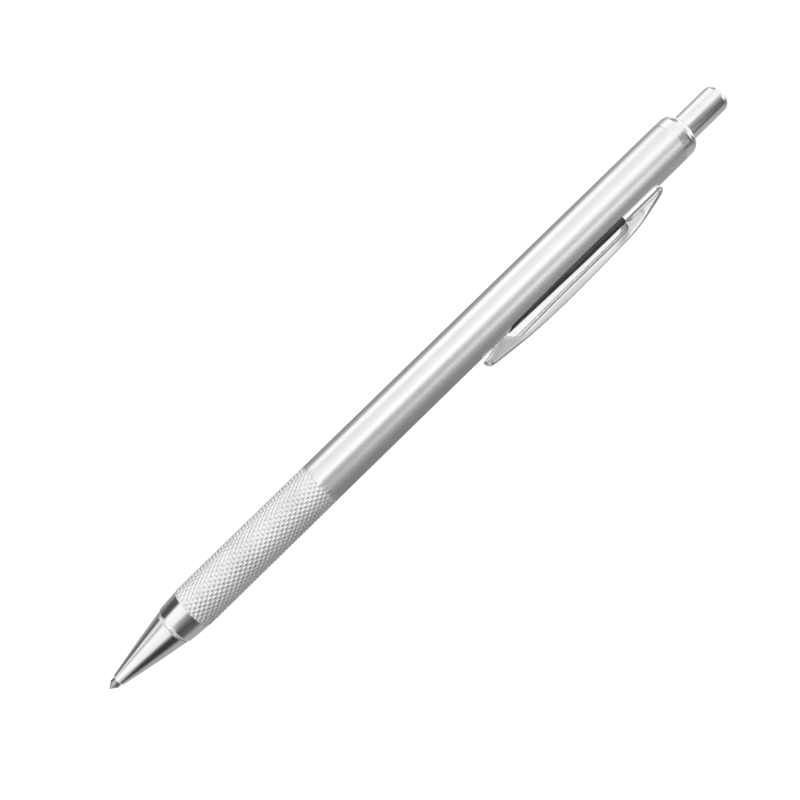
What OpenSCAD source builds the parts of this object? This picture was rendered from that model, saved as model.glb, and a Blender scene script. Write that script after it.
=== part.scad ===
// Pen-style carbide scriber with a push-button collet, a knurled grip and a pocket clip.
// The origin is the scribing point and +X runs along the tool to the push button.
// +Z is up: the tool lies on a bench, resting on its barrel and on one edge of its clip.

/* [Barrel] */
// Outer diameter of the barrel tube
barrel_d = 7.9; // [7.8:0.05:8]
// Bore of the barrel tube
barrel_bore_d = 6.6; // [6.5:0.1:6.8]
// Distance from the scribing point to the front end of the barrel tube
barrel_start = 18.2; // [18:0.1:18.4]
// Distance from the scribing point to the rear end of the barrel tube
barrel_end = 130.1; // [129:0.1:130.6]
// Length of the knurled grip at the front of the barrel
grip_l = 29.5; // [24:0.1:34]
// Height of the rolled knurl above the plain barrel
knurl_rise = 0.05; // [0.03:0.01:0.08]

/* [Nose] */
// Where the nose cone starts, behind the bare needle
nose_start = 2; // [1.6:0.05:2.2]
// Where the nose cone meets the front ferrule
nose_end = 14.3; // [14.1:0.1:14.5]
// Diameter of the nose cone at its front end
nose_front_d = 2.26; // [2.1:0.02:2.4]
// How far the nose swells outside a straight cone halfway along
nose_swell = 0.05; // [0:0.01:0.1]
// Diameter of the nose cone at its rear end
nose_rear_d = 6.72; // [6.6:0.02:6.8]
// Diameter of the ferrule's collar in front of the grip
collar_d = 7.74; // [7.6:0.02:7.8]

/* [Needle and collet] */
// Diameter of the carbide needle
needle_d = 1.7; // [1.6:0.05:1.75]
// Length of the carbide needle
needle_l = 44; // [36:1:45]
// Length of the ground cone at the scribing point
point_l = 1.1; // [0.9:0.05:1.3]
// Outer diameter of the collet's sleeve and fingers
collet_d = 2.9; // [2.8:0.05:3]
// Diameter of the collet's closing head
head_d = 3.8; // [3.7:0.1:3.9]
// Width of the saw cuts between the jaws
slit_w = 0.4; // [0.3:0.05:0.5]

/* [Push button] */
// Diameter of the push button
button_d = 5; // [4.9:0.05:5.1]
// Overall length of the tool, from the scribing point to the end of the button
tool_l = 142.5; // [142:0.5:144]
// Outer diameter of the push tube
tube_d = 4.2; // [4:0.1:4.4]
// Length of the end cap that shows behind the barrel
cap_l = 3.3; // [3.1:0.1:3.5]
// Wire diameter of the return spring
wire_d = 0.5; // [0.4:0.05:0.6]
// Number of coils in the return spring
spring_coils = 8; // [6:1:10]

/* [Clip] */
// Width of the folded clip
clip_w = 3.2; // [3:0.1:3.6]
// Thickness of the clip's sheet steel
sheet = 0.45; // [0.4:0.05:0.5]
// Angle of the clip below the horizontal when the tool lies on a bench
clip_dip = 21; // [19:0.5:22]
// Where the arm starts to flex, at the front of the clip's welded base
clip_root = 113.4; // [112.6:0.1:113.8]
// Width across the saddle, the strip of the clip that is welded along the barrel
saddle_w = 5.8; // [5.2:0.1:6]

/* [Hidden] */
$fn = 96;

edge = 0.25;                // small turned chamfers
broken = 0.12;              // edges that are only broken
running = 0.06;             // radial clearance of a running fit
slack = 0.15;               // radial clearance where nothing is guided
face_gap = 0.02;            // gap between end faces that meet on two moving bodies

barrel_r = barrel_d / 2;
bore_r = barrel_bore_d / 2;
grip_end = barrel_start + grip_l;
knurl_runout = 0.6;         // the rolled band sinks to the plain barrel over this length

ferrule_end = barrel_start + 11.5;
seat_front = nose_end + 4.2;
seat_front_r = 2.15;
seat_slope = 0.3136;        // fall of the closing seat's radius per millimetre
guide_r = collet_d / 2 + 0.11;
seat_rear = seat_front + (seat_front_r - guide_r) / seat_slope;
thread_r = 2.75;
seam_r = nose_rear_d / 2 - broken;
lip_l = 0.55;               // chamfer on the ferrule's front edge
lip_drop = 0.33;            // how far that chamfer's rear edge lies below the collar
shoulder_l = 1;             // rounded shoulder where the ferrule swells out to its collar
shoulder_drop = 0.18;       // how far the shoulder's front lies below the collar
crown_drop = 0.1;           // how far its rear lies below the collar
cavity_r = 2.25;            // room for the jaws inside the nose cone
cavity_front = nose_end - 4.8;
cavity_full = nose_end - 2.2;

head_front = nose_end + 1.5;
head_bevel = 0.5;           // length of the bevel on the closing head's front
grip_rear = head_front + 3; // the jaws hold the needle from the head's front to here
jaw_root = nose_end + 12.6;
grip_r = needle_d / 2 + 0.03;
sleeve_bore_r = 0.98;
boss_front = 38;            // the push tube's front boss takes the collet's sleeve
flange_front = 46;          // the push tube's flange carries the spring
flange_l = 1.5;
tube_rear = tool_l - 8;

cap_front = barrel_end - 7; // the end cap's plug starts here, inside the barrel
cap_end = barrel_end + cap_l;
groove_l = 0.2;             // fine groove between the barrel and the end cap
groove_depth = 0.15;
rim_l = 1.7;                // length of the end cap's rounded rim
rim_land = 0.07;            // flat left between the rim and the button
button_front = tool_l - 16;
dome_l = 1.4;               // length of the button's rounded end
dome_r = 1.5;               // how far that end draws in

spring_r = 2.55;            // radius of the spring's centre line
closed_coils = 1;           // flat coils at each end of the spring
coil_steps = 18;
wire_sides = 6;

arm_end = clip_root - 0.1;
arm_inner = 5.5;            // height of the arm's free edges above the tool's axis
wall_gap = 0.7;             // the rounded front of the arm is this thick
crest_gap = 0.3;            // the crest's own points keep this far from the ends of the arm and base
cheek_front = 115.1;        // front edge of the two cheeks that carry the arm
cheek_fillet = 1.3;         // radius where the cheeks run into the arm's free edges
cheek_foot = 3;             // the cheeks reach down to here before the barrel is cut away
saddle_front = 88;          // the saddle's feathered front end, behind the arm's lobe
saddle_feather = 0.06;      // thickness of the saddle at that end
saddle_full = 106;          // the saddle reaches its full thickness here
saddle_rear = 124;
channel_rear = 122.4;       // the hollow inside the folded base closes here

// Crest line of the clip in side view: distance along the tool and height above its axis
CREST = [[81.5, 4.86], [82, 5.46], [84, 5.98], [90.7, 6.66], [97.5, 6.9], [104.3, 6.83],
         [111.2, 6.65], [115, 6.53], [118.2, 6.1], [121.5, 5.4], [124, 4.76]];
// Lower edge of the arm's side walls, with the deep lobe that presses on the barrel
LOBE = [[97.4, 5.5], [90.5, 5.62], [88.8, 5.6], [88, 4.96], [87.5, 4.29], [86.8, 3.93],
        [85.7, 4.04], [84.3, 4.46], [82.8, 4.87]];

// A smooth curve through a list of points: steps points on each stretch
function spline(p, steps) = [
    for (i = [0:len(p) - 2], k = [0:steps - 1])
        let (a = p[max(i - 1, 0)], b = p[i], c = p[i + 1], d = p[min(i + 2, len(p) - 1)], t = k / steps)
        0.5 * (2 * b + (c - a) * t + (2 * a - 5 * b + 4 * c - d) * t * t
               + (3 * b - a - 3 * c + d) * t * t * t),
    p[len(p) - 1]
];

crest_line = spline(CREST, 5);
arm_crest = [for (p = crest_line) if (p[0] < arm_end - crest_gap) p];
base_crest = [for (p = crest_line) if (p[0] > clip_root + crest_gap) p];
crest_at_root = lookup(clip_root, crest_line);
lobe_edge = spline(LOBE, 3);

// The return spring's centre line: flat at both ends and evenly open between
spring_l = flange_front - ferrule_end - wire_d;
function coil_x(turn) =
    ferrule_end + wire_d / 2
    + spring_l * max(0, min(1, (turn - closed_coils * 0.75) / (spring_coils - closed_coils * 1.5)));
function coil_point(turn, side) =
    let (a = 360 * side / wire_sides, r = spring_r + wire_d / 2 * cos(a))
    [coil_x(turn) + wire_d / 2 * sin(a), r * cos(360 * turn), r * sin(360 * turn)];

// A body turned about the tool's axis from its half section, listed as distance and radius
module turned(section) {
    rotate([0, 90, 0])
        rotate_extrude()
            polygon([for (p = section) [p[1], p[0]]]);
}

// A plain ring or tube about the tool's axis
module tube(from, to, outer, inner) {
    turned([[from, inner], [from, outer], [to, outer], [to, inner]]);
}

// Carries the clip from its own frame, where it stands up along +Z, to its place on the barrel
module clip_place() {
    rotate([90 + clip_dip, 0, 0]) children();
}

// A side-view outline given a width across the clip
module side_plate(width) {
    rotate([90, 0, 0])
        linear_extrude(width, center = true)
            children();
}

// The stainless tube with its rolled grip band
module barrel() {
    grip_r = barrel_r + knurl_rise;
    color([0.78, 0.78, 0.77])
        turned([
            [barrel_start, bore_r],
            [barrel_start, grip_r - edge],
            [barrel_start + edge, grip_r],
            [grip_end - knurl_runout, grip_r],
            [grip_end, barrel_r],
            [barrel_end, barrel_r],
            [barrel_end, bore_r]
        ]);
}

// Pressed into the barrel: takes the nose cone's thread, closes the jaws and seats the spring
module front_ferrule() {
    collar_r = collar_d / 2;
    color([0.85, 0.85, 0.86])
        turned([
            [nose_end, thread_r],
            [nose_end, seam_r],
            [nose_end + lip_l, collar_r - lip_drop],
            [nose_end + shoulder_l, collar_r - shoulder_drop],
            [nose_end + 2 * shoulder_l, collar_r - crown_drop],
            [barrel_start, collar_r],
            [barrel_start, bore_r],
            [ferrule_end - edge, bore_r],
            [ferrule_end, bore_r - edge],
            [ferrule_end, guide_r],
            [seat_rear, guide_r],
            [seat_front, seat_front_r],
            [seat_front, thread_r]
        ]);
}

// Screws into the ferrule, guides the needle and covers the jaws
module nose_cone() {
    spigot_r = thread_r - running;
    spigot_end = seat_front - 0.2;
    tip_x = nose_start + 0.2;
    rear_x = nose_end - 0.2;
    steps = 8;
    swollen = [
        for (i = [0:steps])
            let (t = i / steps)
            [tip_x + (rear_x - tip_x) * t,
             nose_front_d / 2 + (nose_rear_d - nose_front_d) / 2 * t + 4 * nose_swell * t * (1 - t)]
    ];
    needle_guide_r = needle_d / 2 + running;
    color([0.88, 0.88, 0.89])
        turned(concat(
            [[nose_start, needle_guide_r], [nose_start, nose_front_d / 2 - broken]],
            swollen,
            [[nose_end - face_gap, seam_r],
             [nose_end - face_gap, spigot_r],
             [spigot_end, spigot_r],
             [spigot_end, cavity_r],
             [cavity_full, cavity_r],
             [cavity_front, needle_guide_r]]
        ));
}

// The carbide rod, ground to a point
module needle() {
    needle_r = needle_d / 2;
    blunt_r = 0.04;
    color([0.42, 0.42, 0.44])
        turned([
            [0, 0],
            [0, blunt_r],
            [point_l, needle_r],
            [needle_l - edge, needle_r],
            [needle_l, needle_r - edge],
            [needle_l, 0]
        ]);
}

// All three jaws as one turned shape, before the saw cuts part them
module collet_head() {
    head_r = head_d / 2;
    finger_r = collet_d / 2;
    seat_gap = 0.1;
    finger_end = jaw_root - face_gap;
    flank_x = seat_front + (seat_front_r - head_r) / seat_slope - seat_gap;
    turned([
        [head_front, grip_r],
        [head_front, head_r - 0.8 * head_bevel],
        [head_front + head_bevel, head_r],
        [flank_x, head_r],
        [flank_x + (head_r - finger_r) / seat_slope, finger_r],
        [finger_end, finger_r],
        [finger_end, sleeve_bore_r],
        [grip_rear + 0.2, sleeve_bore_r],
        [grip_rear, grip_r]
    ]);
}

// One jaw: a third of the collet's head, with its spring finger
module jaw(turn) {
    reach = 3 * head_d;
    color([0.80, 0.66, 0.36])
        rotate([turn, 0, 0])
            intersection() {
                collet_head();
                rotate([0, 90, 0])
                    linear_extrude(jaw_root)
                        translate([0, slit_w / 2 / sin(60)])
                            polygon([[0, 0], [reach * sin(60), reach * cos(60)],
                                     [-reach * sin(60), reach * cos(60)]]);
            }
}

// The uncut sleeve of the collet, screwed into the push tube
module collet_body() {
    color([0.80, 0.66, 0.36])
        tube(jaw_root, flange_front, collet_d / 2, sleeve_bore_r);
}

// Compression spring between the ferrule and the push tube's flange
module return_spring() {
    rings = spring_coils * coil_steps;
    points = [for (i = [0:rings], s = [0:wire_sides - 1]) coil_point(i / coil_steps, s)];
    walls = [
        for (i = [0:rings - 1], s = [0:wire_sides - 1])
            let (a = i * wire_sides, n = (s + 1) % wire_sides)
            [a + s, a + n, a + wire_sides + n, a + wire_sides + s]
    ];
    front = [for (s = [wire_sides - 1:-1:0]) s];
    back = [for (s = [0:wire_sides - 1]) rings * wire_sides + s];
    color([0.55, 0.55, 0.57])
        polyhedron(points = points, faces = concat(walls, [front, back]), convexity = 12);
}

// Carries the button's push to the collet, with a flange for the spring
module push_tube() {
    tube_r = tube_d / 2;
    wall = 0.6;
    color([0.72, 0.72, 0.70])
        turned([
            [boss_front, collet_d / 2],
            [boss_front, tube_r],
            [flange_front, tube_r],
            [flange_front, bore_r - slack],
            [flange_front + flange_l, bore_r - slack],
            [flange_front + flange_l, tube_r],
            [tube_rear, tube_r],
            [tube_rear, tube_r - wall],
            [flange_front, tube_r - wall],
            [flange_front, collet_d / 2]
        ]);
}

// What the thumb presses: a solid rod with a rounded end, whose plug closes the push tube
module push_button() {
    r = button_d / 2;
    rim = [
        for (a = [0:15:90])
            [tool_l - dome_l + dome_l * sin(a), r - dome_r + dome_r * cos(a)]
    ];
    color([0.86, 0.86, 0.87])
        turned(concat(
            [[button_front, tube_d / 2], [button_front, r - edge], [button_front + edge, r]],
            rim,
            [[tool_l, 0], [tube_rear, 0], [tube_rear, tube_d / 2]]
        ));
}

// Pressed into the rear of the barrel, it guides the button
module end_cap() {
    cap_r = barrel_r - 0.02;
    guide = button_d / 2 + running;
    rim_r = cap_r - guide - rim_land;
    rim = [
        for (a = [0:15:90])
            [cap_end - rim_l + rim_l * sin(a), cap_r - rim_r + rim_r * cos(a)]
    ];
    color([0.86, 0.86, 0.87])
        turned(concat(
            [[cap_front, guide], [cap_front, bore_r], [barrel_end, bore_r],
             [barrel_end, cap_r - groove_depth], [barrel_end + groove_l, cap_r]],
            rim,
            [[cap_end, guide]]
        ));
}

// The sprung arm: a channel of folded sheet with a rounded front end
module clip_arm() {
    nose_r = clip_w / 2;
    color([0.82, 0.82, 0.83])
        clip_place()
            difference() {
                intersection() {
                    side_plate(clip_w)
                        polygon(concat(
                            arm_crest,
                            [[arm_end, crest_at_root], [arm_end, arm_inner]],
                            lobe_edge
                        ));
                    union() {
                        translate([CREST[0][0] + nose_r, 0, 0])
                            cylinder(h = 2 * barrel_d, r = nose_r);
                        translate([CREST[0][0] + nose_r, -clip_w / 2, 0])
                            cube([arm_end - CREST[0][0], clip_w, 2 * barrel_d]);
                    }
                }
                side_plate(clip_w - 2 * sheet)
                    polygon(concat(
                        [for (p = arm_crest) if (p[0] > CREST[0][0] + wall_gap) p - [0, sheet]],
                        [[arm_end + 1, crest_at_root - sheet], [arm_end + 1, 0],
                         [CREST[0][0] + wall_gap, 0]]
                    ));
            }
}

// The welded base: the end of the channel, its two cheeks and the saddle along the barrel
module clip_base() {
    saddle_top = barrel_r + sheet;
    color([0.82, 0.82, 0.83])
        clip_place()
            difference() {
                union() {
                    side_plate(clip_w)
                        polygon(concat(
                            [[clip_root, crest_at_root]],
                            base_crest,
                            [[saddle_rear, cheek_foot], [cheek_front, cheek_foot]],
                            [for (a = [0:22.5:90])
                                [cheek_front - cheek_fillet + cheek_fillet * cos(a),
                                 arm_inner - cheek_fillet + cheek_fillet * sin(a)]],
                            [[clip_root, arm_inner]]
                        ));
                    intersection() {
                        turned([
                            [saddle_front, 0],
                            [saddle_front, barrel_r + saddle_feather],
                            [saddle_full, saddle_top],
                            [saddle_rear, saddle_top],
                            [saddle_rear, 0]
                        ]);
                        translate([saddle_front, -saddle_w / 2, 0])
                            cube([saddle_rear - saddle_front, saddle_w, 2 * barrel_r]);
                    }
                }
                side_plate(clip_w - 2 * sheet)
                    polygon([
                        [clip_root - 1, saddle_top],
                        [clip_root - 1, crest_at_root - sheet],
                        [CREST[8][0], CREST[8][1] - sheet],
                        [CREST[9][0], CREST[9][1] - sheet],
                        [channel_rear, saddle_top]
                    ]);
                tube(saddle_front - 1, saddle_rear + 2, barrel_r, 0);
            }
}

barrel();
front_ferrule();
nose_cone();
needle();
jaw(0);  // jaw_1
jaw(120);  // jaw_2
jaw(240);  // jaw_3
collet_body();
return_spring();
push_tube();
push_button();
end_cap();
clip_arm();
clip_base();
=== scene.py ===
"""The looks of a pen-style carbide scriber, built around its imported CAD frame.

Lengths in the outlines below are millimetres in the frame's own axes: X runs along the tool from the
scribing point, and an outline's second number is the distance from the tool's axis.
"""

import math

import bmesh
import bpy
import numpy as np
from mathutils import Matrix, Vector


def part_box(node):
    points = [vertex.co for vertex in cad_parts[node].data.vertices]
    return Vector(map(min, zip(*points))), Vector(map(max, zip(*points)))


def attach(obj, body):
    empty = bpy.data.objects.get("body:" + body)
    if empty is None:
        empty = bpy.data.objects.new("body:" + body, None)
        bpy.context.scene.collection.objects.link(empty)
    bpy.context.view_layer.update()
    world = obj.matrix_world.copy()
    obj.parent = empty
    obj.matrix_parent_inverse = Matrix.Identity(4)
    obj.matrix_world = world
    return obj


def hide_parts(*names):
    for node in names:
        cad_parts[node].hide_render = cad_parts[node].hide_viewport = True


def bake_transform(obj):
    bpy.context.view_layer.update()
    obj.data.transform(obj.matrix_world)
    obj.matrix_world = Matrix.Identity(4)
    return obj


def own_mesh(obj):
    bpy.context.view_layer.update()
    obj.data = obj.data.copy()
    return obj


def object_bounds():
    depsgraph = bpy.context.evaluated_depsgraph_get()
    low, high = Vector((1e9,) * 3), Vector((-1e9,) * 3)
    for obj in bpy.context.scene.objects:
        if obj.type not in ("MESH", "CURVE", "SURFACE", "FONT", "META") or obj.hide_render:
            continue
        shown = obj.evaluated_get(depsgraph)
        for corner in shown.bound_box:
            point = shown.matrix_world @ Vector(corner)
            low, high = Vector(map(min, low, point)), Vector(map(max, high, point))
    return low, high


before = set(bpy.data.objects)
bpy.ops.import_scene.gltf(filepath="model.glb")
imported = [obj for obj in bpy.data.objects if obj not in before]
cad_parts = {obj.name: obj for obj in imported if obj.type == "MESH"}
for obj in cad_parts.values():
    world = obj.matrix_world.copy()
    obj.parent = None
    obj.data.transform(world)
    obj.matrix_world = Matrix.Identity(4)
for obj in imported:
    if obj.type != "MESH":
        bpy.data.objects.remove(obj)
cad_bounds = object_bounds()

MM = 0.001


# ---------------------------------------------------------------- sizes from the frame

def span(node):
    """Where a turned node starts, where it ends and its largest radius, in millimetres."""
    low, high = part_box(node)
    return low.x / MM, high.x / MM, max(high.z, high.y) / MM


NEEDLE_FRONT, NEEDLE_REAR, NEEDLE_R = span("needle")
NOSE_FRONT, SPIGOT_REAR, NOSE_R = span("nose_cone")
NOSE_REAR, FERRULE_REAR, COLLAR_R = span("front_ferrule")
BARREL_FRONT, BARREL_REAR, KNURL_R = span("barrel")
CAP_FRONT, CAP_REAR, CAP_R = span("end_cap")
BUTTON_FRONT, TOOL_END, BUTTON_R = span("push_button")
SPRING_FRONT, SPRING_REAR, SPRING_OUTER_R = span("return_spring")
CLIP_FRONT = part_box("clip_arm")[0].x / MM
CLIP_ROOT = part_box("clip_arm")[1].x / MM
SADDLE_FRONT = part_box("clip_base")[0].x / MM
SADDLE_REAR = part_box("clip_base")[1].x / MM

KNURL_RISE = 0.05                # how far the knurl's crests stand above the plain barrel
BARREL_R = KNURL_R - KNURL_RISE
BORE_R = 3.3
GRIP_LENGTH = 29.5
GRIP_REAR = BARREL_FRONT + GRIP_LENGTH
KNURL_FRONT = BARREL_FRONT + 0.3
FIT = 0.06                       # play between a moving round piece and its guide
CLIP_DIP = math.radians(21)      # how far the clip is turned below the tool's level side
CLIP_HALF_W = 1.6
CLIP_CORNER = 1.05               # radius of the clip's front corners, seen from above
SHEET = 0.45                     # thickness of the clip's sheet


# ---------------------------------------------------------------- mesh tools

def make_object(name, vertices, faces, sharp_deg):
    """A smooth-shaded mesh object, in metres, from vertices in millimetres."""
    mesh = bpy.data.meshes.new(name)
    mesh.from_pydata([tuple(c * MM for c in v) for v in vertices], [], faces)
    work = bmesh.new()
    work.from_mesh(mesh)
    bmesh.ops.remove_doubles(work, verts=work.verts, dist=1e-7)
    bmesh.ops.dissolve_degenerate(work, edges=work.edges, dist=1e-8)
    bmesh.ops.recalc_face_normals(work, faces=work.faces)
    work.to_mesh(mesh)
    work.free()
    for face in mesh.polygons:
        face.use_smooth = True
    mesh.set_sharp_from_angle(angle=math.radians(sharp_deg))
    obj = bpy.data.objects.new(name, mesh)
    bpy.context.scene.collection.objects.link(obj)
    return obj


def rounded(corners):
    """An outline with its corners rounded: each corner is (x, r) or (x, r, radius of its rounding).

    A holding point just beyond each end of a rounding keeps the long faces next to it flat in shading.
    """
    steps = 5
    hold = 0.04
    roomy = 4
    most_cut = 0.49
    points = []
    count = len(corners)
    for i, corner in enumerate(corners):
        here = Vector(corner[:2])
        radius = corner[2] if len(corner) > 2 else 0
        if not radius or i in (0, count - 1):
            points.append(tuple(here))
            continue
        back = Vector(corners[i - 1][:2]) - here
        on = Vector(corners[i + 1][:2]) - here
        half = back.angle(on) / 2
        cut = min(radius / math.tan(half), most_cut * back.length, most_cut * on.length)
        start = here + back.normalized() * cut
        end = here + on.normalized() * cut
        if back.length > roomy * (cut + hold):
            points.append(tuple(start + back.normalized() * hold))
        for k in range(steps + 1):
            t = k / steps
            p = start.lerp(here, t).lerp(here.lerp(end, t), t)
            points.append(tuple(p))
        if on.length > roomy * (cut + hold):
            points.append(tuple(end + on.normalized() * hold))
    return points


def lathe(name, outline, segments, closed=True):
    """Turns an outline of (x, r) points about the tool's axis. A closed outline joins its ends."""
    sharp_deg = 32.0
    vertices, rings = [], []
    for x, r in outline:
        if r < 1e-6:
            rings.append([len(vertices)] * segments)
            vertices.append((x, 0.0, 0.0))
            continue
        rings.append(list(range(len(vertices), len(vertices) + segments)))
        for k in range(segments):
            a = math.tau * k / segments
            vertices.append((x, r * math.cos(a), r * math.sin(a)))
    pairs = list(zip(rings, rings[1:]))
    if closed:
        pairs.append((rings[-1], rings[0]))
    faces = []
    for ring, following in pairs:
        for k in range(segments):
            n = (k + 1) % segments
            quad = [ring[k], ring[n], following[n], following[k]]
            corner_ids = list(dict.fromkeys(quad))
            if len(corner_ids) > 2:
                faces.append(corner_ids)
    return make_object(name, vertices, faces, sharp_deg)


def spline(points, steps=8):
    """A smooth curve through points, as an array of rows."""
    p = np.array(points, float)
    out = []
    for i in range(len(p) - 1):
        a, b, c, d = p[max(i - 1, 0)], p[i], p[i + 1], p[min(i + 2, len(p) - 1)]
        for k in range(steps):
            t = k / steps
            out.append(0.5 * (2 * b + (c - a) * t + (2 * a - 5 * b + 4 * c - d) * t ** 2
                              + (3 * b - a - 3 * c + d) * t ** 3))
    out.append(p[-1])
    return np.array(out)


# ---------------------------------------------------------------- materials

class Nodes:
    """A short way to write a node tree."""

    def __init__(self, name):
        self.material = bpy.data.materials.new(name)
        self.material.use_nodes = True
        self.tree = self.material.node_tree
        self.shader = self.tree.nodes["Principled BSDF"]

    def add(self, kind, **settings):
        node = self.tree.nodes.new(kind)
        for key, value in settings.items():
            if hasattr(node, key):
                setattr(node, key, value)
            else:
                node.inputs[key.replace("_", " ")].default_value = value
        return node

    def link(self, source, target):
        self.tree.links.new(source, target)

    def stretched(self, scale):
        """The object's own coordinates, scaled along each axis."""
        place = self.add("ShaderNodeTexCoord")
        mapping = self.add("ShaderNodeMapping")
        mapping.inputs["Scale"].default_value = scale
        self.link(place.outputs["Object"], mapping.inputs["Vector"])
        return mapping.outputs["Vector"]

    def noise(self, scale, detail=3.0, roughness=0.6):
        texture = self.add("ShaderNodeTexNoise", Scale=1.0, Detail=detail, Roughness=roughness)
        self.link(self.stretched(scale), texture.inputs["Vector"])
        return texture.outputs["Fac"]

    def between(self, source, low, high):
        """Spreads a pattern's middle values over a range."""
        node = self.add("ShaderNodeMapRange")
        limits = {"From Min": 0.3, "From Max": 0.7, "To Min": low, "To Max": high}
        for key, value in limits.items():
            node.inputs[key].default_value = value
        self.link(source, node.inputs["Value"])
        return node.outputs["Result"]

    def tint(self, factor, dark, light):
        """A colour that runs from dark to light with a pattern."""
        ramp = self.add("ShaderNodeValToRGB")
        ramp.color_ramp.elements[0].color = (*dark, 1)
        ramp.color_ramp.elements[1].color = (*light, 1)
        self.link(factor, ramp.inputs["Fac"])
        return ramp.outputs["Color"]

    def added(self, first, second):
        node = self.add("ShaderNodeMath", operation="ADD")
        self.link(first, node.inputs[0])
        self.link(second, node.inputs[1])
        return node.outputs["Value"]

    def bump(self, height, distance):
        node = self.add("ShaderNodeBump", Strength=1.0, Distance=distance)
        self.link(height, node.inputs["Height"])
        self.link(node.outputs["Normal"], self.shader.inputs["Normal"])


RINGS = (26000, 900, 900)        # fine turning marks around the tool
DRAWN = (900, 16000, 16000)      # marks along the tool
WEAR = (180, 260, 260)           # soft clouds where the metal is handled
SCRATCHES = (500, 9000, 700)


def metal(name, dark, light, rough_low, rough_high, grain, grain_depth, metallic=1.0):
    """A bare or plated metal: grain sets the tool marks, and wear clouds the colour and the gloss."""
    scratch_share = 0.35
    n = Nodes(name)
    n.shader.inputs["Metallic"].default_value = metallic
    wear = n.noise(WEAR, detail=5.0)
    marks = n.noise(grain, detail=2.0, roughness=0.5)
    scratches = n.noise(SCRATCHES, detail=1.0)
    n.link(n.tint(n.between(wear, 0, 1), dark, light), n.shader.inputs["Base Color"])
    gloss = n.added(n.between(wear, rough_low, (rough_low + rough_high) / 2),
                    n.between(marks, 0, (rough_high - rough_low) / 2))
    n.link(gloss, n.shader.inputs["Roughness"])
    n.bump(n.added(marks, n.between(scratches, 0, scratch_share)), grain_depth)
    return n.material


chrome = metal("polished_chrome", (0.80, 0.80, 0.81), (0.90, 0.90, 0.91), 0.05, 0.13, RINGS, 0.0000006)
stainless = metal("satin_stainless", (0.80, 0.80, 0.80), (0.84, 0.84, 0.84), 0.24, 0.30, RINGS, 0.0000020)
knurled = metal("knurled_stainless", (0.80, 0.80, 0.80), (0.94, 0.94, 0.94), 0.36, 0.48, RINGS, 0.0000030)
# painted shade: a near-black copy of the metal for the part of the clip's strip that lies in the arm's shade
painted_shade_strip = metal("strip_in_painted_shade", (0.04, 0.04, 0.04), (0.10, 0.10, 0.10), 0.30, 0.45, DRAWN, 0.0000030)
# matt gloss, and painted light: a lighter, less metallic copy of the clip steel so that the channel's inside
# shows bright
matt_inside_painted_light = metal("matt_inside_painted_light", (0.86, 0.86, 0.86), (0.93, 0.93, 0.93), 0.45, 0.60, DRAWN, 0.0000020,
                    metallic=0.25)
clip_steel = metal("plated_clip_steel", (0.66, 0.66, 0.67), (0.74, 0.74, 0.75), 0.14, 0.24, DRAWN, 0.0000016)
carbide = metal("ground_carbide", (0.44, 0.44, 0.46), (0.60, 0.60, 0.62), 0.22, 0.38, RINGS, 0.0000030)
brass = metal("turned_brass", (0.60, 0.45, 0.19), (0.78, 0.62, 0.30), 0.22, 0.36, RINGS, 0.0000040)
spring_wire = metal("spring_wire", (0.42, 0.42, 0.44), (0.58, 0.58, 0.60), 0.20, 0.34, DRAWN, 0.0000020)
aluminium = metal("drawn_aluminium", (0.62, 0.62, 0.62), (0.78, 0.78, 0.77), 0.26, 0.42, DRAWN, 0.0000030)


def brush(material, amount):
    """Spreads a metal's reflections along the tool, as fine turning marks do."""
    quarter_turn = 0.25
    tree = material.node_tree
    shader = tree.nodes["Principled BSDF"]
    shader.inputs["Anisotropic"].default_value = amount
    shader.inputs["Anisotropic Rotation"].default_value = quarter_turn
    tangent = tree.nodes.new("ShaderNodeTangent")
    tangent.direction_type = "RADIAL"
    tangent.axis = "X"
    tree.links.new(tangent.outputs["Tangent"], shader.inputs["Tangent"])


brush(stainless, 0.7)


def finish_piece(obj, body, material, slot, *nodes):
    """Gives a piece its material and its body, and hides the CAD nodes that it stands for. The slot is not
    used.
    """
    if not obj.data.materials:
        obj.data.materials.append(material)
    if body:
        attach(obj, body)
    if nodes:
        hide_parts(*nodes)
    return obj


# ---------------------------------------------------------------- turned pieces

def needle():
    """The carbide rod with its ground point, whose very tip is worn to a small ball."""
    point_l, ball_r = 1.1, 0.05
    chamfer = 0.25
    outline = rounded([
        (NEEDLE_FRONT, 0.0),
        (NEEDLE_FRONT, ball_r, 0.04),
        (NEEDLE_FRONT + point_l, NEEDLE_R, 0.12),
        (NEEDLE_REAR - chamfer, NEEDLE_R, 0.05),
        (NEEDLE_REAR, NEEDLE_R - chamfer, 0.05),
        (NEEDLE_REAR, 0.0),
    ])
    return lathe("needle_rod", outline, 96, closed=False)


def nose_cone():
    """The polished nose, slightly swollen, with its threaded spigot."""
    front_r, front_chamfer = 1.13, 0.13
    swell = 0.05
    guide_r = NEEDLE_R + FIT
    spigot_r = 2.69
    cavity_r = 2.25
    cavity_front, guide_rear = NOSE_REAR - 2.2, NOSE_REAR - 4.8
    seam, seam_chamfer = 0.03, 0.14
    steps = 14
    front, rear = NOSE_FRONT + 0.2, NOSE_REAR - seam_chamfer
    skin = [
        (front + (rear - front) * k / steps,
         front_r + (NOSE_R - front_r) * k / steps + 4 * swell * (k / steps) * (1 - k / steps))
        for k in range(1, steps)
    ]
    corners = [
        (NOSE_FRONT, guide_r),
        (NOSE_FRONT, front_r - front_chamfer, 0.05),
        (front, front_r, 0.12),
        *skin,
        (rear, NOSE_R, 0.05),
        (NOSE_REAR - seam, NOSE_R - seam_chamfer, 0.04),
        (NOSE_REAR - seam, spigot_r),
        (SPIGOT_REAR, spigot_r),
        (SPIGOT_REAR, cavity_r),
        (cavity_front, cavity_r),
        (guide_rear, guide_r),
    ]
    return lathe("nose", rounded(corners), 224)


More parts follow.
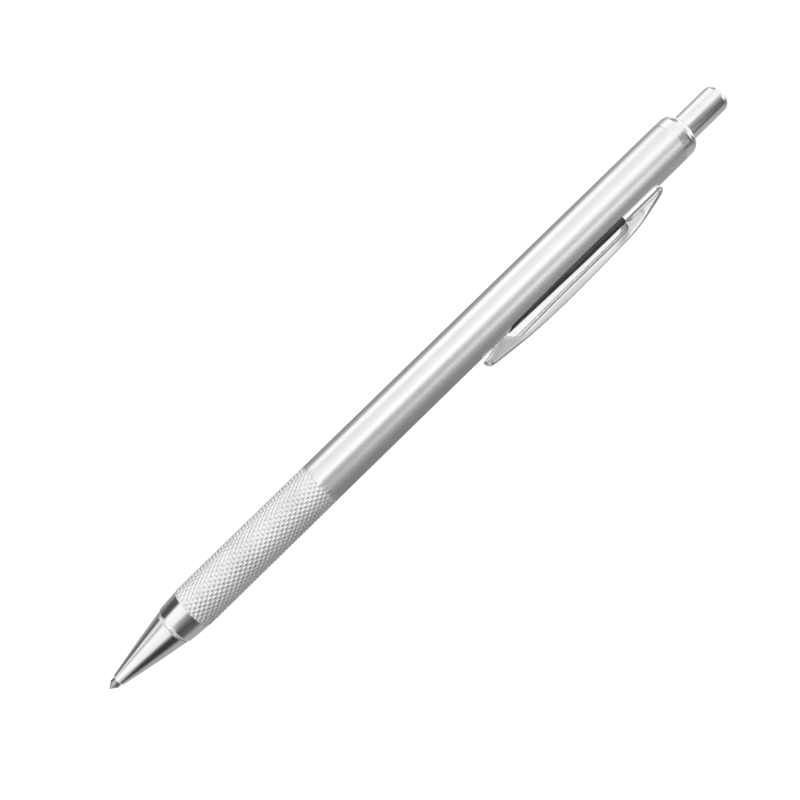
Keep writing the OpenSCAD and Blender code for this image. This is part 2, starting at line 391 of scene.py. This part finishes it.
def front_ferrule():
    """The polished collar between the nose and the grip."""
    thread_r = 2.75
    guide_r = 1.56
    seat_front = NOSE_REAR + 4.2
    seat_r = 2.15
    seat_rear = seat_front + 1.88
    lip_rear, lip_drop = NOSE_REAR + 0.5, 0.12
    taper, dome = 0.055, 0.0075
    chamfer = 0.25

    def crown(x):
        """Radius of the slightly domed collar."""
        back = BARREL_FRONT - x
        return COLLAR_R - taper * back - dome * back ** 2

    corners = [
        (NOSE_REAR, thread_r),
        (NOSE_REAR, NOSE_R - lip_drop, 0.04),
        (lip_rear, crown(lip_rear), 0.06),
        *[(x, crown(x)) for x in np.linspace(lip_rear + 0.2, BARREL_FRONT, 12)],
        (BARREL_FRONT, BORE_R),
        (FERRULE_REAR - chamfer, BORE_R),
        (FERRULE_REAR, BORE_R - chamfer),
        (FERRULE_REAR, guide_r),
        (seat_rear, guide_r),
        (seat_front, seat_r),
        (seat_front, thread_r),
    ]
    return lathe("collar", rounded(corners), 224)


def quarter_round(rear, radius, length, height):
    """An elliptical rounding from a cylinder down to its rear face."""
    return [
        (rear - length + length * math.sin(a), radius - height + height * math.cos(a))
        for a in (math.radians(d) for d in range(0, 91, 6))
    ]


def end_cap():
    """The polished cap with its long rounded rim, set off from the barrel by a fine groove."""
    guide_r = BUTTON_R + FIT
    rim_l, land = 1.7, 0.07
    groove_l, groove_depth = 0.08, 0.06
    hold = 0.1
    corners = [
        (CAP_FRONT, guide_r),
        (CAP_FRONT, BORE_R),
        (BARREL_REAR, BORE_R),
        (BARREL_REAR, CAP_R - groove_depth),
        (BARREL_REAR + groove_l, CAP_R, 0.03),
        (CAP_REAR - rim_l - hold, CAP_R),
        *quarter_round(CAP_REAR, CAP_R, rim_l, CAP_R - guide_r - land),
        (CAP_REAR, guide_r),
    ]
    return lathe("cap", rounded(corners), 224)


def push_button():
    """The polished button with its rounded end, and the plug inside the push tube."""
    dome_l, dome_r = 1.4, 1.5
    plug_r = 2.1
    chamfer = 0.25
    hold = 0.1
    socket = TOOL_END - 8
    outline = [(socket, 0.0), (socket, plug_r)] + rounded([
        (BUTTON_FRONT, plug_r),
        (BUTTON_FRONT, BUTTON_R - chamfer),
        (BUTTON_FRONT + chamfer, BUTTON_R, 0.08),
        (TOOL_END - dome_l - hold, BUTTON_R),
        *quarter_round(TOOL_END, BUTTON_R, dome_l, dome_r),
        (TOOL_END, 0.0),
    ])
    return lathe("button", outline, 192, closed=False)


def knurl_depth(x, angle):
    """How far the diamond knurl sinks below its crests, from its place along and around the grip.

    The rolls of one hand bit deeper than those of the other.
    """
    around, along = 30, 22
    deepest = 0.20
    flat_top = 0.20
    shallow = 0.85
    u = angle / math.tau * around
    v = (x - KNURL_FRONT) / (GRIP_REAR - KNURL_FRONT) * along
    first = np.abs(2 * np.mod(u + v, 1.0) - 1)
    second = np.abs(2 * np.mod(u - v, 1.0) - 1)
    fall = np.clip((np.maximum(first, shallow * second) - flat_top) / (1 - flat_top), 0, 1)
    return deepest * fall


def barrel():
    """The tube, with its rolled grip as real geometry: one ring of vertices every tenth of a diamond."""
    segments = 300
    rows = 220
    run_in, run_in_drop, run_in_depth = 0.25, 0.2, 0.3     # how the knurl fades in at its front
    step, step_rise, past_step = 0.03, 0.01, 0.02
    end_chamfer, end_gap = 0.05, 0.02
    angles = math.tau * np.arange(segments) / segments
    front = [(BARREL_FRONT, BORE_R), (BARREL_FRONT, COLLAR_R), (KNURL_FRONT - step, COLLAR_R + step_rise)]
    rings = [(x, np.full(segments, r)) for x, r in front]
    for k in range(rows + 1):
        x = KNURL_FRONT + (GRIP_REAR - KNURL_FRONT) * k / rows
        share = min(1.0, (x - KNURL_FRONT) / run_in)
        crest = KNURL_R - (1 - share) * run_in_drop
        rings.append((x, crest - knurl_depth(x, angles) * min(1.0, share + run_in_depth)))
    plain = [(GRIP_REAR + step, BARREL_R)]
    plain += [(x, BARREL_R) for x in np.linspace(GRIP_REAR + 1, BARREL_REAR - 1, 24)]
    plain += [(BARREL_REAR - end_chamfer, BARREL_R), (BARREL_REAR - end_gap, BARREL_R - end_chamfer),
              (BARREL_REAR - end_gap, BORE_R)]
    rings += [(x, np.full(segments, r)) for x, r in plain]
    vertices, faces = [], []
    for x, radius in rings:
        vertices += [(x, r * math.cos(a), r * math.sin(a)) for r, a in zip(radius, angles)]
    count = len(rings)
    for i in range(count):
        low, high = i * segments, (i + 1) % count * segments
        for k in range(segments):
            n = (k + 1) % segments
            faces.append([low + k, low + n, high + n, high + k])
    tube = make_object("barrel_tube", vertices, faces, sharp_deg=48.0)
    tube.data.materials.append(stainless)
    tube.data.materials.append(knurled)
    tube.data.materials.append(chrome)
    for face in tube.data.polygons:
        place = face.center.x / MM
        if place < KNURL_FRONT - past_step:
            face.material_index = 2
        elif place < GRIP_REAR + past_step:
            face.material_index = 1
    return tube


# ---------------------------------------------------------------- the clip

# Side view of the clip: distance behind its front end, and height above the tool's axis
CREST = [(0, 5.66), (0.6, 5.88), (2.5, 6.14), (9.2, 6.78), (16, 7.0), (22.8, 6.94),
         (29.7, 6.77), (33.5, 6.64), (36.7, 6.22), (40, 5.52), (42.5, 4.9)]
LOBE = [(0, 4.92), (1.3, 4.90), (2.8, 4.46), (4.2, 4.04), (5.3, 3.93), (6, 4.29), (6.5, 4.96),
        (7.3, 5.6), (9, 5.62), (15.9, 5.5)]
CREST_LINE = spline(CREST)
LOBE_LINE = spline(LOBE, 6)
ARM_EDGE = 5.5
CHEEK_FRONT = CLIP_ROOT + 1.8
CHEEK_FILLET = 1.3
CHEEK_FOOT = 3.95
CREASE = CLIP_ROOT + 4.9
LEAST_WALL = 0.3


def clip_point(x, height, side):
    """A point of the clip, from its own upright frame to its place on the tool."""
    down, across = math.cos(CLIP_DIP), math.sin(CLIP_DIP)
    return (x, -height * down - side * across, -height * across + side * down)


def crest_height(x):
    """Height of the clip's back at a place along the tool."""
    return float(np.interp(x - CLIP_FRONT, CREST_LINE[:, 0], CREST_LINE[:, 1]))


def edge_height(x):
    """Height of the side walls' free edge: the lobe, the straight arm, and the cheek behind its fillet."""
    if x < CLIP_FRONT + LOBE[-1][0]:
        return float(np.interp(x - CLIP_FRONT, LOBE_LINE[:, 0], LOBE_LINE[:, 1]))
    start = CHEEK_FRONT - CHEEK_FILLET
    if x < start:
        return ARM_EDGE
    if x < CHEEK_FRONT:
        return ARM_EDGE - CHEEK_FILLET + math.sqrt(max(0.0, CHEEK_FILLET ** 2 - (x - start) ** 2))
    return CHEEK_FOOT


def foot_height(x):
    """Height of the free edge, kept clear of the clip's back."""
    return min(edge_height(x), crest_height(x) - LEAST_WALL)


def clip_stations():
    """Places along one side wall, from the rear to where the rounded front starts."""
    lobe_rear = CLIP_FRONT + 9.4
    lobe_step, arm_step = 0.2, 0.8
    past_fillet = 0.02
    fillet_front = CHEEK_FRONT - CHEEK_FILLET
    lobe = list(np.arange(CLIP_FRONT + CLIP_CORNER, lobe_rear, lobe_step))
    arm = list(np.arange(lobe_rear, fillet_front, arm_step))
    fillet = [fillet_front + CHEEK_FILLET * math.sin(math.radians(d)) for d in range(0, 91, 9)]
    cheek = list(np.linspace(CHEEK_FRONT + past_fillet, SADDLE_REAR, 30))
    return sorted(set(round(float(x), 4) for x in lobe + arm + fillet + cheek), reverse=True)


def wall_lean(x):
    """How far the walls draw in from roof to free edge: inwards along the arm, outwards behind the crease."""
    arm_lean, cheek_spread = 0.28, 0.10
    start, run_in = CLIP_FRONT + 6.6, 5
    end, run_out = CHEEK_FRONT - 0.5, 3.5
    crease_l = 0.6
    share = max(0.0, min(1.0, (x - start) / run_in, (end - x) / run_out))
    spread = cheek_spread * max(0.0, min(1.0, (x - CREASE) / crease_l))
    return arm_lean * share * share * (3 - 2 * share) - spread


def clip_profile(x):
    """The sheet's section from the outer roof, round the free edge, to the inner roof: (inset, height).

    A roof point's inset is measured from the wall's outer side, so the middle of the clip is CLIP_HALF_W.
    """
    arm_bend, cheek_bend, most_bend = 0.45, 0.60, 0.75
    inner_bend = 0.12
    lip = 0.13
    gap = 0.01
    middle = 1.0
    top = crest_height(x)
    foot = foot_height(x)
    bend = min(arm_bend if x < CREASE else cheek_bend, most_bend * (top - foot))
    inner_top = max(top - SHEET - inner_bend, foot + lip + 2 * gap)
    inner_roof = max(top - SHEET, inner_top + gap)
    points = [(CLIP_HALF_W, top), (middle, top), (bend, top)]
    points += [(bend - bend * math.sin(a), top - bend + bend * math.cos(a))
               for a in (math.radians(d) for d in (18, 36, 54, 72, 90))]
    points += [(0, foot + lip + (top - bend - foot - lip) * t) for t in (0.66, 0.33)]
    points += [(lip - lip * math.cos(a), foot + lip - lip * math.sin(a))
               for a in (math.radians(d) for d in (0, 30, 60, 90))]
    points += [(SHEET - lip + lip * math.sin(a), foot + lip - lip * math.cos(a))
               for a in (math.radians(d) for d in (0, 30, 60, 90))]
    points += [(SHEET, inner_top), (SHEET + inner_bend, inner_roof), (CLIP_HALF_W, inner_roof)]
    lean = wall_lean(x) / max(top - foot, LEAST_WALL)
    wall = CLIP_HALF_W / 2
    return [(inset + lean * (top - height) * (inset < wall), height) for inset, height in points]


def is_inside(face):
    """Whether a face of the clip looks into its channel: a wall's inner side, or the roof's underside."""
    most_turned, most_level = 0.5, 0.7
    near_roof = 0.15
    down, across = math.cos(CLIP_DIP), math.sin(CLIP_DIP)
    x, y, z = face.center.x / MM, face.center.y / MM, face.center.z / MM
    height = -y * down - z * across
    side = z * down - y * across
    facing_side = face.normal.z * down - face.normal.y * across
    facing_down = face.normal.y * down + face.normal.z * across
    is_wall = facing_side * side < -most_turned * abs(side)
    is_roof = facing_down > most_level and height > crest_height(x) - SHEET - near_roof
    return is_wall or is_roof


def clip_sheet():
    """The folded sheet: walls and roof are one skin that goes round the front end."""
    rear_round, rear_share = 1.2, 0.9
    flat = CLIP_HALF_W - CLIP_CORNER
    straight = clip_stations()
    centre = CLIP_FRONT + CLIP_CORNER
    path = [(x, 1.0, 0.0) for x in straight]
    path += [(None, 1.0, math.radians(d)) for d in range(9, 90, 9)]
    path += [(None, k, math.pi / 2) for k in (1.0, 0.0, -1.0)]
    path += [(None, -1.0, math.radians(d)) for d in range(81, 0, -9)]
    path += [(x, -1.0, 0.0) for x in reversed(straight)]
    vertices = []
    for x, side, turn in path:
        base = centre - CLIP_CORNER * math.sin(turn) if x is None else x
        crest, foot = crest_height(base), foot_height(base)
        for inset, height in clip_profile(base):
            if x is None:
                reach = CLIP_CORNER - min(inset, CLIP_CORNER)
                place = centre - reach * math.sin(turn)
                # the roof keeps the crest's own slope from the rounded front back to the straight walls
                share = 1.0 if inset > SHEET else (height - foot) / (crest - foot)
                height += share * (crest_height(place) - crest)
                vertices.append(clip_point(place, height, side * (flat + reach * math.cos(turn))))
            else:
                over = max(0.0, (x - (SADDLE_REAR - rear_round)) / rear_round)
                narrow = math.sqrt(1 - (rear_share * over) ** 2)
                vertices.append(clip_point(x, height, side * (CLIP_HALF_W - inset) * narrow))
    width = len(clip_profile(centre))
    faces = []
    for i in range(len(path) - 1):
        for k in range(width - 1):
            a = i * width + k
            faces.append([a, a + 1, a + width + 1, a + width])
    last = (len(path) - 1) * width
    faces.append(list(range(width)))
    faces.append([last + k for k in reversed(range(width))])
    sheet = make_object("clip", vertices, faces, sharp_deg=40.0)
    sheet.data.materials.append(clip_steel)
    sheet.data.materials.append(matt_inside_painted_light)
    # faces that look into the channel get the lighter copy of the clip steel: painted light
    for face in sheet.data.polygons:
        face.material_index = int(is_inside(face))
    return sheet


def clip_saddle():
    """The strip of the clip that lies along the barrel under the arm, feathered at its front, with painted
    shade on its part under the arm.
    """
    half = math.radians(38)
    thick, thin, taper_l = 0.52, 0.14, 18
    end_l, tip = 1.5, 0.02
    lip, lip_share = 0.14, 0.35
    fillet, most_fillet, rear_gap = 0.45, 0.4, 0.1
    sunk = 0.05
    stations = [*np.linspace(SADDLE_FRONT, SADDLE_FRONT + end_l, 12),
                *np.linspace(SADDLE_FRONT + 2.2, SADDLE_REAR - 1.6, 40),
                *np.linspace(SADDLE_REAR - end_l, SADDLE_REAR, 12)]
    across = 60
    vertices = []
    for x in stations:
        rise = thin + (thick - thin) * min(1.0, (x - SADDLE_FRONT) / taper_l)
        front = 1 - min(1.0, (x - SADDLE_FRONT) / end_l)
        back = 1 - min(1.0, (SADDLE_REAR - x) / end_l)
        reach = half * math.sqrt(max(tip, 1 - max(front, back) ** 2))
        ring = []
        for k in range(across + 1):
            t = 2 * k / across - 1
            edge = max(0.0, abs(t) - (1 - lip)) / lip
            height = BARREL_R + rise * (lip_share + (1 - lip_share) * math.sqrt(1 - edge ** 2))
            clear = abs(BARREL_R * math.sin(t * reach)) - CLIP_HALF_W
            if x > CHEEK_FRONT and clear < fillet:
                short = min(fillet, fillet - clear)
                lift = fillet - math.sqrt(fillet ** 2 - short ** 2)
                height += min(lift, SADDLE_REAR - rear_gap - x, most_fillet)
            ring.append((t * reach, height))
        for k in range(across, -1, -1):
            ring.append(((2 * k / across - 1) * reach, BARREL_R - sunk))
        for turn, r in ring:
            vertices.append(clip_point(x, r * math.cos(turn), r * math.sin(turn)))
    width = 2 * (across + 1)
    faces = []
    for i in range(len(stations) - 1):
        for k in range(width):
            n = (k + 1) % width
            faces.append([i * width + k, i * width + n, (i + 1) * width + n, (i + 1) * width + k])
    last = (len(stations) - 1) * width
    faces.append(list(range(width)))
    faces.append([last + k for k in reversed(range(width))])
    strip = make_object("clip_saddle_strip", vertices, faces, sharp_deg=40.0)
    strip.data.materials.append(chrome)
    strip.data.materials.append(painted_shade_strip)
    # the strip's part under the arm is painted dark as the arm's shade; the rest is chrome
    painted_shade_rear = CHEEK_FRONT - 0.4
    for face in strip.data.polygons:
        face.material_index = int(face.center.x < painted_shade_rear * MM)
    return strip


# ---------------------------------------------------------------- the spring

def return_spring():
    """Round wire wound in a helix whose end coils lie flat."""
    coils = 8
    flat_coil = 0.75
    wire_r = 0.25
    mean_r = SPRING_OUTER_R - wire_r
    sides, steps = 12, 40
    first, length = SPRING_FRONT + wire_r, SPRING_REAR - SPRING_FRONT - 2 * wire_r
    vertices, faces = [], []
    turns = coils * steps
    for i in range(turns + 1):
        turn = i / steps
        share = min(1.0, max(0.0, (turn - flat_coil) / (coils - 2 * flat_coil)))
        a = math.tau * turn
        for k in range(sides):
            b = math.tau * k / sides
            r = mean_r + wire_r * math.cos(b)
            vertices.append((first + length * share + wire_r * math.sin(b), r * math.cos(a), r * math.sin(a)))
    for i in range(turns):
        for k in range(sides):
            n = (k + 1) % sides
            faces.append([i * sides + k, i * sides + n, (i + 1) * sides + n, (i + 1) * sides + k])
    faces.append(list(range(sides)))
    faces.append([turns * sides + k for k in reversed(range(sides))])
    return make_object("spring_coil", vertices, faces, sharp_deg=60.0)


# ---------------------------------------------------------------- floor, light and camera

def studio_floor():
    """A plain pale light table that the tool lies on, so that its shadow stays faint."""
    reach = 3.0
    low = cad_bounds[0][2]
    mesh = bpy.data.meshes.new("floor")
    mesh.from_pydata([(-reach, -reach, low), (reach, -reach, low), (reach, reach, low), (-reach, reach, low)],
                     [], [(0, 1, 2, 3)])
    floor = bpy.data.objects.new("floor", mesh)
    bpy.context.scene.collection.objects.link(floor)
    n = Nodes("pale_floor")
    n.shader.inputs["Base Color"].default_value = (0.10, 0.10, 0.10, 1)
    n.shader.inputs["Roughness"].default_value = 0.9
    n.shader.inputs["Specular IOR Level"].default_value = 0.1
    n.shader.inputs["Emission Color"].default_value = (1, 1, 1, 1)
    n.shader.inputs["Emission Strength"].default_value = 0.85
    mesh.materials.append(n.material)
    floor.visible_glossy = False


# Tone of the studio by direction around the tool's axis, in degrees from the level -Y side and over the
# top. Each set belongs to directions that lean along X by the amounts given first: it starts to show at
# the first and has taken over at the second. The first set lies under the others, for all other directions.
# A set starts low behind the tool, just past RAMP_START, and ends there in a similar tone.
RAMP_START = -135
STUDIO = [
    (None, None, [(-134, 0.46), (-60, 0.42), (-34, 0.50), (-18, 0.80), (24, 0.80), (50, 0.66), (80, 1.15),
                  (140, 1.20), (178, 1.10), (200, 0.70), (215, 0.48)]),
    (-0.64, -0.61, [(-134, 0.44), (-26, 0.42), (-12, 0.19), (2, 0.04), (28, 0.04), (38, 0.10), (50, 0.45),
                  (60, 0.95), (118, 1.10), (132, 0.75), (140, 0.42), (148, 0.85), (164, 0.85), (172, 0.35),
                  (180, 0.09), (190, 0.12), (202, 0.30), (220, 0.40)]),
    (-0.455, -0.43, [(-134, 0.44), (-24, 0.42), (-10, 0.26), (0, 0.13), (30, 0.085), (45, 0.13), (58, 0.24),
                    (66, 0.32), (74, 0.45), (80, 0.68), (88, 1.05), (134, 1.12), (140, 0.80), (147, 0.20),
                    (155, 0.09), (172, 0.07), (186, 0.12), (196, 0.22), (212, 0.35)]),
    (-0.215, -0.19, [(-134, 0.26), (-30, 0.23), (-12, 0.23), (5, 0.33), (22, 0.43), (32, 0.50), (40, 0.56),
                     (50, 0.50), (60, 0.43), (70, 0.46), (78, 0.58), (84, 1.15), (98, 1.30), (112, 1.05),
                     (140, 0.95), (150, 1.10), (160, 1.35), (176, 1.35), (184, 0.90), (192, 0.46),
                     (205, 0.36)]),
    (0.05, 0.26, [(-134, 0.33), (-20, 0.31), (-5, 0.35), (8, 0.44), (18, 0.54), (28, 0.76), (38, 1.24),
                  (46, 1.28), (54, 0.78), (62, 0.68), (70, 0.81), (78, 0.93), (84, 1.25), (98, 1.35),
                  (114, 1.10), (140, 0.97), (152, 1.10), (162, 1.30), (178, 1.30), (186, 0.95), (196, 0.50),
                  (208, 0.36)]),
    (0.26, 0.36, [(-134, 0.36), (-20, 0.35), (-5, 0.46), (8, 0.64), (18, 0.95), (28, 1.45), (38, 2.32),
                  (46, 2.32), (54, 1.45), (62, 1.20), (70, 1.45), (78, 1.60), (84, 1.40), (98, 1.35),
                  (114, 1.10), (140, 0.97), (152, 1.10), (162, 1.30), (178, 1.30), (186, 0.95), (196, 0.50),
                  (208, 0.36)]),
    (0.376, 0.388, [(-134, 0.50), (-30, 0.46), (-14, 0.42), (-6, 0.22), (4, 0.15), (12, 0.28), (20, 0.44),
                   (28, 0.28), (40, 0.22), (58, 0.28), (70, 0.38), (78, 0.85), (88, 1.10), (140, 0.98),
                   (160, 1.12), (182, 1.12), (192, 0.75), (206, 0.50)]),
    (0.41, 0.435, [(-134, 0.50), (-30, 0.44), (-14, 0.34), (-6, 0.20), (4, 0.11), (30, 0.10), (44, 0.22),
                   (58, 0.42), (70, 0.62), (78, 0.85), (88, 1.10), (140, 0.98), (160, 1.12), (182, 1.12),
                   (192, 0.75), (206, 0.50)]),
    (0.56, 0.62, [(-134, 1.05), (-92, 1.05), (-76, 0.50), (-34, 0.28), (-10, 0.20), (4, 0.30), (12, 0.65),
                  (20, 1.08), (46, 1.12), (60, 0.70), (74, 0.76), (90, 1.05), (138, 1.08), (146, 0.72),
                  (156, 0.52), (168, 0.40), (188, 0.34), (200, 0.55), (214, 1.05)]),
    (0.84, 0.90, [(-134, 1.10), (214, 1.10)]),
]


def studio_light():
    """A soft studio painted on the sky, from the tones in STUDIO."""
    matt_light, plain_light = 3.0, 1.05
    world = bpy.data.worlds.new("studio")
    bpy.context.scene.world = world
    world.use_nodes = True
    tree = world.node_tree
    tree.nodes.clear()

    def add(kind, **settings):
        node = tree.nodes.new(kind)
        for key, value in settings.items():
            setattr(node, key, value)
        return node

    def math_node(operation, a, b=None):
        node = add("ShaderNodeMath", operation=operation)
        for socket, value in zip(node.inputs, (a, b)):
            if value is None:
                continue
            if isinstance(value, (int, float)):
                socket.default_value = value
            else:
                tree.links.new(value, socket)
        return node.outputs[0]

    place = add("ShaderNodeTexCoord")
    split = add("ShaderNodeSeparateXYZ")
    tree.links.new(place.outputs["Generated"], split.inputs[0])
    x, y, z = split.outputs
    around = math_node("ARCTAN2", z, math_node("MULTIPLY", y, -1.0))
    turned = math_node("ADD", math_node("DIVIDE", around, math.tau), -RAMP_START / 360)
    share = math_node("FRACT", turned)

    def ramp(tones):
        node = add("ShaderNodeValToRGB")
        stops = sorted(((degrees - RAMP_START) / 360 % 1.0, tone) for degrees, tone in tones)
        elements = node.color_ramp.elements
        while len(elements) > 1:
            elements.remove(elements[-1])
        elements[0].position, tone = stops[0]
        elements[0].color = (tone, tone, tone, 1)
        for position, tone in stops[1:]:
            element = elements.new(position)
            element.color = (tone, tone, tone, 1)
        tree.links.new(share, node.inputs["Fac"])
        return node.outputs["Color"]

    def step(value, start, end):
        node = add("ShaderNodeMapRange", interpolation_type="SMOOTHSTEP")
        node.inputs["From Min"].default_value = start
        node.inputs["From Max"].default_value = end
        tree.links.new(value, node.inputs["Value"])
        return node.outputs["Result"]

    def mix(factor, first, second):
        node = add("ShaderNodeMix", data_type="RGBA")
        tree.links.new(factor, node.inputs["Factor"])
        for socket, value in ((node.inputs[6], first), (node.inputs[7], second)):
            if isinstance(value, float):
                socket.default_value = (value, value, value, 1)
            else:
                tree.links.new(value, socket)
        return node.outputs[2]

    tones = ramp(STUDIO[0][2])
    for start, full, stops in STUDIO[1:]:
        tones = mix(step(x, start, full), tones, ramp(stops))
    # only reflections that are seen directly show these tones; light on matt surfaces is even
    rays = add("ShaderNodeLightPath")
    unscattered = math_node("LESS_THAN", rays.outputs["Diffuse Depth"], 0.5)
    seen = math_node("MULTIPLY", rays.outputs["Is Glossy Ray"], unscattered)
    lit = mix(seen, mix(rays.outputs["Is Diffuse Ray"], plain_light, matt_light), tones)
    background = add("ShaderNodeBackground")
    output = add("ShaderNodeOutputWorld")
    tree.links.new(lit, background.inputs["Color"])
    tree.links.new(background.outputs[0], output.inputs["Surface"])


def studio_camera():
    """Looks down from the clip's side, turned so that the tool runs up to the right."""
    elevation = math.radians(79)
    roll = math.radians(44.24)
    distance = 0.170
    yaw = math.radians(3.0)
    foot = 0.05805
    aim_side = 0.0007
    sensor = 36.0
    focal_share = 1.27625
    view = Vector((0, -math.cos(elevation), math.sin(elevation)))
    along = Vector((1, 0, 0))
    side = view.cross(along)
    # the optical axis is turned from the shortest line to the tool by yaw, towards the button
    back = (view * math.cos(yaw) - along * math.sin(yaw)).normalized()
    ahead = (along * math.cos(yaw) + view * math.sin(yaw)).normalized()
    right = ahead * math.cos(roll) - side * math.sin(roll)
    up = ahead * math.sin(roll) + side * math.cos(roll)
    data = bpy.data.cameras.new("camera")
    data.sensor_width = sensor
    data.lens = focal_share * sensor
    data.clip_start = 0.005
    camera = bpy.data.objects.new("camera", data)
    bpy.context.scene.collection.objects.link(camera)
    position = Vector((foot, 0, 0)) + view * distance + side * aim_side
    axes = Matrix((right, up, back)).transposed().to_4x4()
    camera.matrix_world = Matrix.Translation(position) @ axes
    bpy.context.scene.camera = camera


# ---------------------------------------------------------------- assembly

studio_camera()
studio_light()
studio_floor()
bpy.context.scene.view_settings.view_transform = "Standard"

finish_piece(needle(), "point", carbide, "carbide", "needle")
finish_piece(nose_cone(), "nose", chrome, "chrome", "nose_cone")
finish_piece(front_ferrule(), "holder", chrome, "chrome", "front_ferrule")
finish_piece(barrel(), "holder", stainless, "stainless_tube", "barrel")
finish_piece(end_cap(), "holder", chrome, "chrome", "end_cap")
finish_piece(push_button(), "plunger", chrome, "chrome", "push_button")
finish_piece(clip_saddle(), "holder", chrome, "clip_steel")

clip = finish_piece(clip_sheet(), None, clip_steel, "clip_steel", "clip_arm", "clip_base")
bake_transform(clip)

spring = finish_piece(return_spring(), "holder", spring_wire, "spring_steel", "return_spring")
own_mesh(spring)

for node, material in (("jaw_1", brass), ("jaw_2", brass), ("jaw_3", brass), ("collet_body", brass),
                       ("push_tube", aluminium)):
    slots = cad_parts[node].data.materials
    slots.clear()
    slots.append(material)
